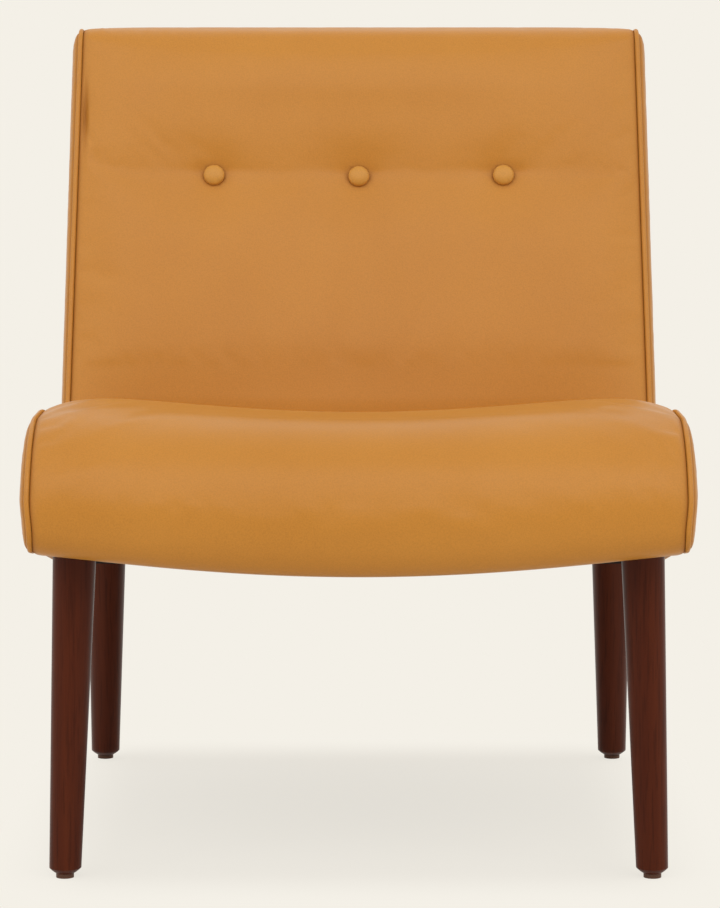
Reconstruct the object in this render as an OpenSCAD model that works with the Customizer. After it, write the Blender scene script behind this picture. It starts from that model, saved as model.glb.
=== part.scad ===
/* [Seat] */
// Half width from the centre to the side seam at the top of the back
seam_half_top = 315; // [260:1:360]
// How much further out the side seam lies for each millimetre lower down
seam_flare = 0.0109; // [0:0.0005:0.03]
// Distance of the front seam forward of the origin
front_reach = 386; // [340:1:430]
// Height of the front seam's lower end
front_bottom = 343; // [310:1:355]
// Height of the seam over the front roll
seat_seam_h = 464; // [440:1:500]
// Radius of the front roll
roll_radius = 98; // [70:1:104]
// Distance from the front to where the seat starts to fall
seat_flat = 177; // [165:1:230]
// Distance from the front to the crease
seat_depth = 510; // [460:1:560]
// Height of the crease between the seat and the back
crease_h = 410; // [395:1:430]
// Thickness of the seat foam over the springs at the crease
seat_foam_t = 66; // [45:1:75]
// Depth of the springs below the seam over the front roll
deck_drop = 48; // [46:1:60]
// How far the seat foam crowns over the seam
seat_crown = 17; // [8:1:26]
// How far the middle of the seat dishes below that crown
seat_dish = 19; // [0:1:22]
// How far the front edge hangs below the seam in the middle
front_droop = 24.5; // [4:0.5:26]

/* [Back] */
// Height of the top of the back
back_top_h = 845; // [780:1:900]
// Distance from the crease back to the top front edge
back_rake = 172; // [130:1:210]
// Thickness of the back at its top, measured level
back_top_t = 114; // [100:1:140]
// How far the back foam crowns over the seam
back_crown = 16; // [6:1:24]
// Thickness of the back foam over the webbing
back_foam_t = 50; // [35:1:58]
// How far the outside back crowns over the seam
outer_crown = 6; // [2:1:10]

/* [Tufts] */
// Distance between neighbouring buttons
button_gap = 163; // [130:1:185]
// Diameter of a button
button_d = 23; // [18:0.5:30]
// Thickness of a button over the leather
button_t = 6.5; // [5:0.5:9]
// Distance from the crease up the back to the buttons
button_rise = 291; // [240:1:330]
// Depth of the dimple under a button
dimple_depth = 11; // [4:1:16]
// Depth of the valley between the buttons
valley_depth = 4; // [0:1:8]

/* [Sides] */
// Fullness of a side panel at the height of the seat
side_bulge = 12; // [9:0.5:18]
// How much fuller it gets for each millimetre higher up
bulge_gain = 0.0075; // [0:0.0005:0.012]
// Diameter of a welt
welt_d = 5.6; // [4:0.2:7]
// Thickness of the leather with its lining
leather_t = 2; // [1.2:0.1:2.1]

/* [Frame] */
// Distance from the side seam at the top in to the outer face of a side frame
frame_in = 3; // [3:0.5:12]
// Thickness of a side frame
ply_t = 15; // [12:1:18]
// Thickness of the rails
rail_t = 22; // [16:1:24]
// Foam between a side frame's edge and the seam
edge_foam_t = 20.5; // [18:0.5:20.5]
// Height of the underside at its lowest corner
belly_h = 256; // [248:1:262]
// Distance of that corner forward of the crease
belly_fwd = 64; // [50:1:80]
// Distance of the rear lower corner behind the crease
heel_back = 146; // [140:1:154]
// Height of the rear lower corner
heel_h = 262; // [255:1:275]
// Height of a corner block
block_h = 45; // [38:1:50]
// Width of a corner block, from the side frame in
block_w = 76; // [60:1:100]
// Length of a front corner block
block_len = 78; // [70:1:100]
// Width of the two rails that carry the back's webbing
back_rail_w = 60; // [45:1:70]
// Width of the rear rail
rear_rail_w = 65; // [50:1:75]

/* [Suspension] */
// Number of seat springs
spring_count = 5; // [3:1:6]
// Thickness of the spring wire
spring_wire = 3.6; // [3:0.2:4.2]
// Width of a spring over its bends
spring_w = 46; // [36:1:54]
// Length of one bend of a spring
spring_pitch = 24; // [20:1:30]
// Height of a spring clip
clip_h = 9; // [8:0.5:12]
// Thickness of the felt over the springs
felt_t = 1.5; // [1:0.1:2]
// Width of a webbing strap
strap_w = 50; // [30:1:60]
// Thickness of a webbing strap
strap_t = 1.5; // [1:0.1:1.5]

/* [Legs] */
// Distance from the side seam at the top in to the middle of a foot
foot_in = 19.5; // [14:0.5:40]
// Distance from the origin to the front and rear feet
foot_reach = 300; // [280:1:320]
// Diameter of a leg at its foot
leg_foot_d = 32; // [26:0.5:36]
// Diameter of a leg at its top
leg_top_d = 43; // [36:0.5:44]
// Height over which a front leg's lean is measured
front_lean_h = 321; // [300:1:340]
// How far a front leg leans in to the middle at its top
front_lean_in = 11.5; // [4:0.5:16]
// How far a front leg leans back at its top
front_lean_back = 10; // [0:1:20]
// Height over which a rear leg's lean is measured
rear_lean_h = 245; // [230:1:260]
// How far a rear leg leans in to the middle at its top
rear_lean_in = 9; // [4:0.5:16]
// How far a rear leg leans forward at its top
rear_lean_fwd = 85; // [70:1:90]
// Diameter of a glide
glide_d = 18; // [14:0.5:22]
// Height of a glide
glide_h = 4.5; // [3:0.5:6]
// Diameter of a hanger bolt
bolt_d = 8; // [6:1:8]
// Length of a hanger bolt in the leg
bolt_reach = 38; // [30:1:45]

/* [Hidden] */
// Clearance between soft faces that lie against each other
clear = 0.3;
// Clearance round a bolt, screw or pin in its hole
pin_clear = 0.15;
// Layers under the seat, measured up from the outline of the underside
under_face = 8;
under_cloth = 1;
frame_lift = under_face + under_cloth + 0.4;
// Wadding on the outside back and the board that carries it
outer_pad_d = 6.5;
board_gap = 0.3;
board_t = 2;
outer_inset = outer_pad_d + board_gap + board_t + 0.2;
face_inset = edge_foam_t + 0.5;
back_inset = back_foam_t + strap_t + 0.6;
// Radii of the outline's corners, from the front bottom round to the underside
hem_radius = 26;
fall_radius = 300;
crease_radius = welt_d / 2 + 0.4;
lip_radius = 22;
crest_radius = 34;
heel_radius = 26;
belly_radius = 260;
// Length of a cover's hem under the seat, at the front and at the rear
hem = 24;
rear_hem = 12;
// Width of a side panel's rounded edge, and how far its rim stands out over the seam
dome_reach = 33;
rim_rise = 3;
// Flat middle of a dimple round a button, and the width of the slope round that
dimple_flat = 8;
dimple_slope = 48;
// Places of the rails along the outline
front_depth = 34;
spring_rail_fwd = 52;
spring_rail_lift = 30;
lower_rail_up = 40;
top_rail_down = 14;
rear_rail_up = 30;
// The front roll's radius, as far as the height of the front leaves room above the hem's radius
roll_fit = min(roll_radius, seat_seam_h - front_bottom - 0.9 * hem_radius);
frame_half = seam_half_top - frame_in;
rib_half = frame_half - ply_t;

// Corners of the side outline, as distances to the rear and heights
P_FRONT = [-front_reach, front_bottom];
P_ROLL = [-front_reach, seat_seam_h];
P_FALL = [-front_reach + seat_flat, seat_seam_h - 2];
P_CREASE = [-front_reach + seat_depth, crease_h];
P_LIP = [P_CREASE.x + back_rake, back_top_h - 1];
P_CREST = [P_LIP.x + back_top_t, back_top_h - 9];
P_HEEL = [P_CREASE.x + heel_back, heel_h];
P_BELLY = [P_CREASE.x - belly_fwd, belly_h];
CORNERS = [P_FRONT, P_ROLL, P_FALL, P_CREASE, P_LIP, P_CREST, P_HEEL, P_BELLY];
RADII = [hem_radius, roll_fit, fall_radius, crease_radius, lip_radius,
         crest_radius, heel_radius, belly_radius];
ARC_STEPS = [4, 7, 3, 2, 3, 4, 4, 3];

function unit(v) = v / norm(v);
function left(v) = [-v.y, v.x];
function at_wrap(list, i) = list[(i + len(list)) % len(list)];
function smooth(t) = let(k = min(max(t, 0), 1)) k * k * (3 - 2 * k);
function lerp(a, b, t) = a + (b - a) * t;

// Points along the arc that rounds corner b between a and c
function corner_arc(a, b, c, r, steps) = let(
    u1 = unit(a - b), u2 = unit(c - b), wedge = acos(u1 * u2) / 2,
    o = b + unit(u1 + u2) * r / sin(wedge), s = b + u1 * r / tan(wedge) - o,
    a0 = atan2(s.y, s.x), turn = (180 - 2 * wedge) * sign(cross(b - a, c - b)))
    [for (k = [0:steps]) o + r * [cos(a0 + turn * k / steps), sin(a0 + turn * k / steps)]];

// Corners of the outline with every edge moved inwards by its own distance
function inset_corners(pts, d) = [for (i = [0:len(pts) - 1]) let(
    n1 = left(unit(pts[i] - at_wrap(pts, i - 1))), n2 = left(unit(at_wrap(pts, i + 1) - pts[i])),
    d1 = at_wrap(d, i - 1), d2 = d[i], det = cross(n1, n2))
    pts[i] + [-d1 * n2.y + d2 * n1.y, -n1.x * d2 + n2.x * d1] / det];

function is_convex(pts, i) =
    cross(pts[i] - at_wrap(pts, i - 1), at_wrap(pts, i + 1) - pts[i]) < 0;

// Closed outline, inset by one distance for each edge, with rounded corners. The inner corner's
// radius grows with the inset only where the loops have to stay the same distance apart
function outline(d, grow = 1) = let(q = inset_corners(CORNERS, d)) [for (i = [0:len(q) - 1]) let(
    shrink = (at_wrap(d, i - 1) + d[i]) / 2,
    r = is_convex(CORNERS, i) ? max(RADII[i] - shrink, 2) : RADII[i] + shrink * grow)
    each corner_arc(at_wrap(q, i - 1), q[i], at_wrap(q, i + 1), r, ARC_STEPS[i])];
function even(d) = [for (p = CORNERS) d];

function arc_at(i) =
    corner_arc(at_wrap(CORNERS, i - 1), CORNERS[i], at_wrap(CORNERS, i + 1), RADII[i], ARC_STEPS[i]);
function last(list) = list[len(list) - 1];

// Points from a to b, without a, no further apart than step
function stretch(a, b, step) = let(n = ceil(norm(b - a) / step))
    [for (k = [1:n]) lerp(a, b, k / n)];

// Outward direction at each point of a path
function normals(path) = [for (i = [0:len(path) - 1])
    left(unit(path[min(i + 1, len(path) - 1)] - path[max(i - 1, 0)]))];

// Share of the path's length at each of its points
function shares(path) = let(
    sums = [for (i = 0, s = 0; i < len(path);
        s = s + (i + 1 < len(path) ? norm(path[i + 1] - path[i]) : 0), i = i + 1) s])
    sums / last(sums);

// Half width at the side seam for a height
function half_at(z) = seam_half_top + (back_top_h - z) * seam_flare;
edge_gap = welt_d / 2 + clear;
function cover_x(u, z) = u * (half_at(z) - edge_gap);

// Path of the seat cover, from its hem under the front to the crease
hem_dir = unit(P_BELLY - P_FRONT);
seat_arc = arc_at(0);
SEAT_PATH = concat([seat_arc[0] + hem_dir * hem], seat_arc, arc_at(1), arc_at(2),
    stretch(last(arc_at(2)), P_CREASE - unit(P_CREASE - P_FALL) * 1.5, 62));
// Path of the inside back cover, from the crease over the top to the rear
back_dir = unit(P_LIP - P_CREASE);
back_out = left(back_dir);
back_steps = [1.5, 0.06 * button_rise, 0.18 * button_rise, 0.4 * button_rise, 0.65 * button_rise,
    button_rise - 42, button_rise - button_d / 2 - 2, button_rise,
    button_rise + button_d / 2 + 2, button_rise + 42];
function on_back(t, depth) = P_CREASE + back_dir * t - back_out * depth;
BACK_PATH = concat([for (t = back_steps) on_back(t, 0)],
    stretch(on_back(button_rise + 42, 0), arc_at(4)[0], 60),
    [for (k = [1:ARC_STEPS[4]]) arc_at(4)[k]], arc_at(5));
// Path of the outside back cover, from the top rear down to its hem
heel_dir = unit(P_BELLY - P_HEEL);
outer_step = 200;
OUTER_PATH = concat([last(arc_at(5)) + unit(P_HEEL - P_CREST) * 1.5],
    stretch(last(arc_at(5)), arc_at(6)[0], outer_step),
    [for (k = [1:ARC_STEPS[6]]) arc_at(6)[k]], [last(arc_at(6)) + heel_dir * rear_hem]);

// Fullness over the outline for a share of the path and a share of the half width
SEAT_PUFF = [[0, 0], [0.04, 0.06], [0.1, 0.32], [0.2, 0.8], [0.34, 1], [0.5, 1],
             [0.8, 0.8], [0.93, 0.42], [1, 0]];
SEAT_ARCH = [[0, 0.2], [0.03, 0.85], [0.05, 1], [0.065, 0.92], [0.0875, 0.6], [0.11, 0.36],
             [0.15, 0.15], [0.2, 0.05], [0.27, 0], [1, 0]];
SEAT_SAG = [[0, 0], [0.2, 0.2], [0.35, 0.9], [0.5, 1], [0.8, 0.8], [1, 0]];
BACK_PUFF = [[0, 0], [0.05, 0.45], [0.15, 0.88], [0.4, 1], [0.65, 0.9], [0.75, 0.45],
             [0.8, 0.25], [0.92, 0.15], [1, 0]];
BACK_SAG = [[0, 0], [0.1, 5], [0.3, 9], [0.6, 6], [0.75, 0], [1, 0]];

function seat_rise(s, x, p, u) = seat_crown * lookup(s, SEAT_PUFF) * (1 - pow(u, 6))
    + front_droop * lookup(s, SEAT_ARCH) * pow(1 - u * u, 1.3)
    - seat_dish * lookup(s, SEAT_SAG) * pow(1 - u * u, 2);
function back_rise(s, x, p, u) = let(t = (p - P_CREASE) * back_dir - button_rise)
    back_crown * lookup(s, BACK_PUFF) * (1 - pow(u, 6))
    - lookup(s, BACK_SAG) * pow(1 - u * u, 2)
    - valley_depth * exp(-pow(t / 45, 2)) * (1 - pow(u, 4))
    - dimple_depth * max([for (b = [-1:1]) dimple(x - b * button_gap, t)]);
// One in a dimple's flat middle, falling to nothing round it
function dimple(dx, dt) = 1 - smooth((norm([dx, dt]) - button_d / 2 - dimple_flat) / dimple_slope);
function outer_rise(s, x, p, u) = outer_crown * sin(180 * s) * (1 - pow(u, 4));

half_cols = [0, 0.25, 0.5, 0.7, 0.84, 0.93, 0.975, 1];
SEAT_COLS = concat([for (i = [len(half_cols) - 1:-1:1]) -half_cols[i]], half_cols);
bu = button_gap / (half_at(P_CREASE.y + button_rise * back_dir.y) - edge_gap);
bw = (button_d / 2 + 2) * bu / button_gap;
half_back = [0, bw, 3.1 * bw, bu - 3.1 * bw, bu - bw, bu, bu + bw, bu + 3.1 * bw, 0.84, 0.93, 0.975, 1];
BACK_COLS = concat([for (i = [len(half_back) - 1:-1:1]) -half_back[i]], half_back);

// Grid of points over a path, one row a path point, at a depth under the crowned face
function grid(path, cols, kind, sink) = let(n = normals(path), s = shares(path))
    [for (i = [0:len(path) - 1]) [for (u = cols) let(
        x = cover_x(u, path[i].y),
        rise = kind == 0 ? seat_rise(s[i], x, path[i], u)
            : kind == 1 ? back_rise(s[i], x, path[i], u) : outer_rise(s[i], x, path[i], u),
        q = path[i] + n[i] * (rise - sink)) [x, q.x, q.y]]];
// Grid of points under a path, at a depth that depth[row][column] holds
function under_grid(path, cols, depth) = let(n = normals(path))
    [for (i = [0:len(path) - 1]) [for (j = [0:len(cols) - 1]) let(
        q = path[i] - n[i] * depth[i][j]) [cover_x(cols[j], path[i].y), q.x, q.y]]];

// Closed solid between an outer grid and an inner grid of the same size
module sandwich(top, under) {
    rows = len(top);
    cols = len(top[0]);
    m = rows * cols;
    function id(i, j) = i * cols + j;
    pts = concat([for (r = top) each r], [for (r = under) each r]);
    quads = concat(
        [for (i = [0:rows - 2], j = [0:cols - 2]) [id(i, j), id(i + 1, j), id(i + 1, j + 1), id(i, j + 1)]],
        [for (i = [0:rows - 2], j = [0:cols - 2])
            [m + id(i, j), m + id(i, j + 1), m + id(i + 1, j + 1), m + id(i + 1, j)]],
        [for (i = [0:rows - 2]) [m + id(i, 0), m + id(i + 1, 0), id(i + 1, 0), id(i, 0)]],
        [for (i = [0:rows - 2]) [id(i, cols - 1), id(i + 1, cols - 1),
            m + id(i + 1, cols - 1), m + id(i, cols - 1)]],
        [for (j = [0:cols - 2]) [id(0, j), id(0, j + 1), m + id(0, j + 1), m + id(0, j)]],
        [for (j = [0:cols - 2]) [m + id(rows - 1, j), m + id(rows - 1, j + 1),
            id(rows - 1, j + 1), id(rows - 1, j)]]);
    polyhedron(pts, [for (q = quads) each [[q[0], q[1], q[2]], [q[0], q[2], q[3]]]]);
}

// Closed solid through a list of loops with the same number of points
module loft(loops) {
    m = len(loops[0]);
    sides = [for (k = [0:len(loops) - 2], i = [0:m - 1]) let(j = (i + 1) % m)
        each [[k * m + i, (k + 1) * m + i, (k + 1) * m + j], [k * m + i, (k + 1) * m + j, k * m + j]]];
    polyhedron([for (l = loops) each l], concat([[for (i = [0:m - 1]) i]], sides,
        [[for (i = [m - 1:-1:0]) (len(loops) - 1) * m + i]]));
}

// Round tube along points in space that lie in a plane square to X
module tube(points, r, sides) {
    function dir(i) = unit(points[min(i + 1, len(points) - 1)] - points[max(i - 1, 0)]);
    loft([for (i = [0:len(points) - 1]) let(d = dir(i), a = unit(cross([1, 0, 0], d)), b = cross(d, a))
        [for (k = [0:sides - 1]) points[i] + r * (a * cos(360 * k / sides) + b * sin(360 * k / sides))]]);
}

// Plate of the given profile that reaches from one X to another
module plate(profile, x0, x1) {
    translate([x0, 0, 0]) rotate([90, 0, 90]) linear_extrude(x1 - x0) polygon(profile);
}
// Four corners of a board that lies along an edge, between two distances and two depths
function board(start, dir, a, b, d1, d2) = [for (q = [[a, d1], [b, d1], [b, d2], [a, d2]])
    start + dir * q[0] - left(dir) * q[1]];
// Strip between two depths under a path
function band(path, d1, d2) = let(n = normals(path)) concat(
    [for (i = [0:len(path) - 1]) path[i] - n[i] * d1],
    [for (i = [len(path) - 1:-1:0]) path[i] - n[i] * d2]);

module on_both(side) { if (side > 0) children(); else mirror([1, 0, 0]) children(); }

// Seat deck: the plane on which the seat foam lies, and the springs under it
DECK_FRONT = [P_FRONT.x + front_depth + rail_t / 2, seat_seam_h - deck_drop];
deck_dir = unit([P_CREASE.x, crease_h - seat_foam_t] - DECK_FRONT);
deck_cos = deck_dir.x;
function deck_z(y) = DECK_FRONT.y + (y - DECK_FRONT.x) * deck_dir.y / deck_dir.x;
spring_drop = clear + felt_t + spring_wire / 2 + 0.4;

// Rails, as boards along the outline's edges
front_rail_front = P_FRONT.x + front_depth;
FRONT_RAIL = [[front_rail_front, under_z(front_rail_front) + frame_lift],
    [front_rail_front, deck_z(front_rail_front + rail_t) - clip_h - felt_t],
    [front_rail_front + rail_t, deck_z(front_rail_front + rail_t) - clip_h - felt_t],
    [front_rail_front + rail_t, under_z(front_rail_front + rail_t) + frame_lift]];
spring_rail_y = P_CREASE.x - spring_rail_fwd;
spring_rail_top = deck_z(spring_rail_y + rail_t) - clip_h - felt_t;
spring_rail_low = under_z(spring_rail_y) + spring_rail_lift;
SPRING_RAIL = [[spring_rail_y, spring_rail_low], [spring_rail_y, spring_rail_top],
    [spring_rail_y + rail_t, spring_rail_top], [spring_rail_y + rail_t, spring_rail_low]];
LOWER_BACK_RAIL = board(P_CREASE, back_dir, lower_rail_up, lower_rail_up + back_rail_w,
    back_inset, back_inset + rail_t);
top_rail_end = norm(P_LIP - P_CREASE) - top_rail_down;
TOP_BACK_RAIL = board(P_CREASE, back_dir, top_rail_end - back_rail_w, top_rail_end,
    back_inset, back_inset + rail_t);
rear_dir = unit(P_HEEL - P_CREST);
rear_len = norm(P_HEEL - P_CREST);
rear_rail_end = rear_len - rear_rail_up;
REAR_RAIL = board(P_CREST, rear_dir, rear_rail_end - rear_rail_w, rear_rail_end,
    outer_inset, outer_inset + rail_t);
RAILS = [FRONT_RAIL, SPRING_RAIL, LOWER_BACK_RAIL, TOP_BACK_RAIL, REAR_RAIL];

// Height of the underside's outline for a distance to the rear, forward of the belly
function under_z(y) = P_FRONT.y + (y - P_FRONT.x) * (P_BELLY.y - P_FRONT.y) / (P_BELLY.x - P_FRONT.x);
// The same behind the belly
function heel_z(y) = P_BELLY.y + (y - P_BELLY.x) * (P_HEEL.y - P_BELLY.y) / (P_HEEL.x - P_BELLY.x);

// Two screws for each end of a rail
function mid(q) = (q[0] + q[1] + q[2] + q[3]) / 4;
function screw_spots(q) = let(m = mid(q), v = (q[1] - q[0]) * 0.27) [m - v, m + v];
SCREWS = [for (q = RAILS) each screw_spots(q)];
screw_d = 4.2;
screw_head_d = 8.4;
screw_len = 48;

module screws(grow) {
    for (side = [-1, 1], s = SCREWS) on_both(side) translate([frame_half - 0.4 + grow, s.x, s.y])
        rotate([0, -90, 0]) {
            cylinder(d = screw_d + 2 * grow, h = screw_len + 3 * grow, $fn = 24);
            cylinder(d1 = screw_head_d + 2 * grow, d2 = screw_d + 2 * grow, h = 3, $fn = 24);
        }
}

// A leg's own frame: its foot on the floor at the origin, its length along Z
function lean(rear) = rear ? [-rear_lean_in, -rear_lean_fwd, rear_lean_h]
    : [-front_lean_in, front_lean_back, front_lean_h];
function foot(rear) = [seam_half_top - foot_in, rear ? foot_reach : -foot_reach, 0];
module at_leg(side, rear) {
    d = unit(lean(rear));
    on_both(side) translate(foot(rear)) rotate([-asin(d.y), atan2(d.x, d.z), 0]) children();
}
// Distance along a leg's axis at which it meets the underside
function top_y(rear) = foot(rear).y + lean(rear).y;
function leg_len(rear) = let(d = lean(rear), z0 = rear ? heel_z(top_y(rear)) : under_z(top_y(rear)))
    (z0 + under_face) / unit(d).z;
nut_flange = 1.6;
nut_barrel_d = 10.4;
// A T-nut's seat lies this far up the leg's axis from the underside
function nut_len(rear) = leg_len(rear) + (rear ? 28 : 34);

module leg(side, rear) {
    color([0.30, 0.14, 0.09]) difference() {
        intersection() {
            at_leg(side, rear) translate([0, 0, 2])
                cylinder(d1 = leg_foot_d, d2 = leg_top_d + 1, h = leg_len(rear) + 8, $fn = 64);
            on_both(side) plate(rear ? REAR_LEG_SPACE : FRONT_LEG_SPACE,
                foot(rear).x - leg_room, foot(rear).x + leg_room);
            on_both(side) translate(foot(rear) + lean(rear) * glide_h / lean(rear).z)
                cylinder(d1 = foot_face, d2 = foot_face + 2 * chamfer_h, h = chamfer_h, $fn = 64);
        }
        at_leg(side, rear) translate([0, 0, leg_len(rear) - bolt_reach - 2])
            cylinder(d = bolt_d + 2 * pin_clear, h = bolt_reach + 40, $fn = 32);
        on_both(side) translate([foot(rear).x, foot(rear).y, 0])
            cylinder(d = nail_d + 2 * pin_clear, h = glide_h + nail_len + 0.5, $fn = 24);
    }
}
nail_d = 3;
nail_len = 15;
// Cone that chamfers a foot's edge at 45 degrees
foot_chamfer = 3;
foot_face = leg_foot_d - 2 * foot_chamfer;
chamfer_h = 400;
leg_face = under_face - 0.1;
// Space in which a leg stands, cut off level at the foot and along the underside at the top
leg_room = 80;
leg_front = -foot_reach - leg_room;
FRONT_LEG_SPACE = [[leg_front, glide_h], [leg_front, under_z(leg_front) + leg_face],
    [leg_front + 2 * leg_room, under_z(leg_front + 2 * leg_room) + leg_face],
    [leg_front + 2 * leg_room, glide_h]];
rear_top = top_y(true);
rear_space = [rear_top - leg_room / 2, foot_reach + leg_room];
REAR_LEG_SPACE = [[rear_space[0], glide_h], [rear_space[0], heel_z(rear_space[0]) + leg_face],
    [rear_space[1], heel_z(rear_space[1]) + leg_face], [rear_space[1], glide_h]];

module seat_cover() {
    color([0.79, 0.55, 0.26])
        sandwich(grid(SEAT_PATH, SEAT_COLS, 0, 0), grid(SEAT_PATH, SEAT_COLS, 0, leather_t));
}
module back_cover() {
    color([0.79, 0.55, 0.26]) difference() {
        sandwich(grid(BACK_PATH, BACK_COLS, 1, 0), grid(BACK_PATH, BACK_COLS, 1, leather_t));
        button_holes(20);
    }
}
module outer_back_cover() {
    color([0.76, 0.52, 0.25])
        sandwich(grid(OUTER_PATH, SEAT_COLS, 2, 0), grid(OUTER_PATH, SEAT_COLS, 2, leather_t));
}

// Loops of a side panel's dome, moved in by a depth
dome_span = dome_reach - edge_gap;
dome_steps = [for (share = [0, 0.07, 0.22, 0.5, 1]) share * dome_span];
function dome(d) = sqrt(1 - pow(1 - d / dome_span, 2));
function bulge_at(z) = side_bulge + (z - P_CREASE.y) * bulge_gain;
function dome_loop(d, sink) = [for (p = outline(even(edge_gap + d)))
    [half_at(p.y) + rim_rise + (bulge_at(p.y) - rim_rise) * dome(d) - sink, p.x, p.y]];
module side_cover(side) {
    outer = [for (d = dome_steps) dome_loop(d, 0)];
    inner = [for (d = dome_steps) dome_loop(d, leather_t)];
    color([0.77, 0.54, 0.27]) on_both(side) shell(outer, inner);
}
// Two chains of points that run from the front lower corner to the top rear corner of a loop
hem_mid = floor(ARC_STEPS[0] / 2);
function arc_start(i) = i == 0 ? 0 : arc_start(i - 1) + ARC_STEPS[i - 1] + 1;
crest_mid = arc_start(5) + floor(ARC_STEPS[5] / 2);
loop_len = arc_start(len(ARC_STEPS));
FACE_CHAIN = [for (i = [hem_mid + 1:crest_mid - 1]) i];
UNDER_CHAIN = concat([for (i = [hem_mid:-1:0]) i], [for (i = [loop_len - 1:-1:crest_mid]) i]);
// Triangles of a flat loop, laid from chain to chain
function zip(a, b, sa, sb, i = 0, j = 0) = i == len(a) - 1 && j == len(b) - 1 ? []
    : j == len(b) - 1 || (i < len(a) - 1 && sa[i + 1] <= sb[j + 1])
    ? concat([[a[i], a[i + 1], b[j]]], zip(a, b, sa, sb, i + 1, j))
    : concat([[a[i], b[j + 1], b[j]]], zip(a, b, sa, sb, i, j + 1));
function cap(loop) = zip(FACE_CHAIN, UNDER_CHAIN,
    shares([for (i = FACE_CHAIN) loop[i]]), shares([for (i = UNDER_CHAIN) loop[i]]));
function flipped(faces) = [for (f = faces) [f[2], f[1], f[0]]];
function shifted(faces, by) = [for (f = faces) f + [by, by, by]];

// Solid between two stacks of loops that share their rim, closed by the last loop of each
module shell(outer, inner) {
    m = len(outer[0]);
    function ring(k, i) = k * m + i % m;
    function skin(n) = [for (k = [0:n - 2], i = [0:m - 1]) each [
        [ring(k, i), ring(k, i + 1), ring(k + 1, i + 1)], [ring(k, i), ring(k + 1, i + 1), ring(k + 1, i)]]];
    base = len(outer) * m;
    rim = [for (i = [0:m - 1]) each [[ring(0, i), base + ring(0, i + 1), ring(0, i + 1)],
        [ring(0, i), base + ring(0, i), base + ring(0, i + 1)]]];
    polyhedron([for (l = outer) each l, for (l = inner) each l], concat(skin(len(outer)), rim,
        shifted(flipped(skin(len(inner))), base),
        shifted(cap(last(outer)), base - m),
        shifted(flipped(cap(last(inner))), base + (len(inner) - 1) * m)));
}
module side_pad(side) {
    back = [[for (p = outline(even(edge_gap))) [frame_half, p.x, p.y]]];
    front = [for (d = dome_steps) [for (p = dome_loop(d, leather_t + clear))
        [max(p.x, frame_half + 0.4), p.y, p.z]]];
    color([0.93, 0.91, 0.84]) on_both(side) shell(front, back);
}

// Path of a welt, round the side panel from the front hem to the rear hem
WELT_PATH = concat([seat_arc[0] + hem_dir * hem], seat_arc, arc_at(1), arc_at(2), arc_at(3),
    arc_at(4), arc_at(5), arc_at(6), [last(arc_at(6)) + heel_dir * rear_hem]);
module welt(side) {
    color([0.74, 0.50, 0.23]) on_both(side)
        tube([for (p = WELT_PATH) [half_at(p.y), p.x, p.y]], welt_d / 2, 8);
}

// Depth of the seat foam's lower face: thin over the frame, full over the springs
function seat_depth_at(p, s, u) = let(
    rim = s < 0.1 ? lookup(s, [[0, frame_lift - 0.7], [0.04, frame_lift - 0.7], [0.1, edge_foam_t]])
        : edge_foam_t,
    deck = (p.y - deck_z(p.x)) * deck_cos,
    full = p.x < front_rail_front + rail_t ? rim : max(rim, deck))
    abs(u) > 0.9 ? rim : full;
module seat_foam() {
    cols = [for (u = SEAT_COLS) if (abs(u) < 0.99) u];
    s = shares(SEAT_PATH);
    depth = [for (i = [0:len(SEAT_PATH) - 1]) [for (u = cols) seat_depth_at(SEAT_PATH[i], s[i], u)]];
    color([0.95, 0.93, 0.86])
        sandwich(grid(SEAT_PATH, cols, 0, leather_t + clear), under_grid(SEAT_PATH, cols, depth));
}
// Depth of the back foam's inner face: thin over the frame and over the top, full over the webbing
crest_row = len(BACK_PATH) - 1 - ARC_STEPS[5];
function back_depth_at(i, u) = i > crest_row
    ? lerp(edge_foam_t, outer_pad_d, (i - crest_row) / ARC_STEPS[5])
    : abs(u) > 0.9 || (BACK_PATH[i] - P_CREASE) * back_dir > top_rail_end - 20 ? edge_foam_t : back_foam_t;
module back_foam() {
    cols = [for (u = BACK_COLS) if (abs(u) < 0.99) u];
    depth = [for (i = [0:len(BACK_PATH) - 1]) [for (u = cols) back_depth_at(i, u)]];
    color([0.95, 0.93, 0.86]) difference() {
        sandwich(grid(BACK_PATH, cols, 1, leather_t + clear), under_grid(BACK_PATH, cols, depth));
        button_holes(90);
    }
}
module outer_back_pad() {
    cols = [for (u = SEAT_COLS) if (abs(u) < 0.99) u];
    rows = [0:len(OUTER_PATH) - ARC_STEPS[6] - 1];
    top = grid(OUTER_PATH, cols, 2, leather_t + clear);
    under = under_grid(OUTER_PATH, cols, [for (p = OUTER_PATH) [for (u = cols) outer_pad_d]]);
    color([0.93, 0.91, 0.84]) sandwich([for (i = rows) top[i]], [for (i = rows) under[i]]);
}
module outer_back_board() {
    color([0.62, 0.52, 0.40]) plate(board(P_CREST, rear_dir, 45, rear_len - 48,
        outer_pad_d + board_gap, outer_pad_d + board_gap + board_t), -frame_half + 2, frame_half - 2);
}

side_profile = outline([face_inset, face_inset, face_inset, face_inset, face_inset, outer_inset,
                        frame_lift, frame_lift], 0);
module side_frame(side) {
    color([0.80, 0.66, 0.45]) difference() {
        on_both(side) plate(side_profile, rib_half, frame_half);
        screws(pin_clear);
        for (rear = [false, true]) leg_bore(side, rear);
    }
}
module rail(profile) {
    color([0.78, 0.62, 0.40]) difference() {
        plate(profile, -rib_half, rib_half);
        screws(pin_clear);
    }
}
module front_rail() { rail(FRONT_RAIL); }
module spring_rail() { rail(SPRING_RAIL); }
module lower_back_rail() { rail(LOWER_BACK_RAIL); }
module top_back_rail() { rail(TOP_BACK_RAIL); }
module rear_rail() { rail(REAR_RAIL); }

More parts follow.
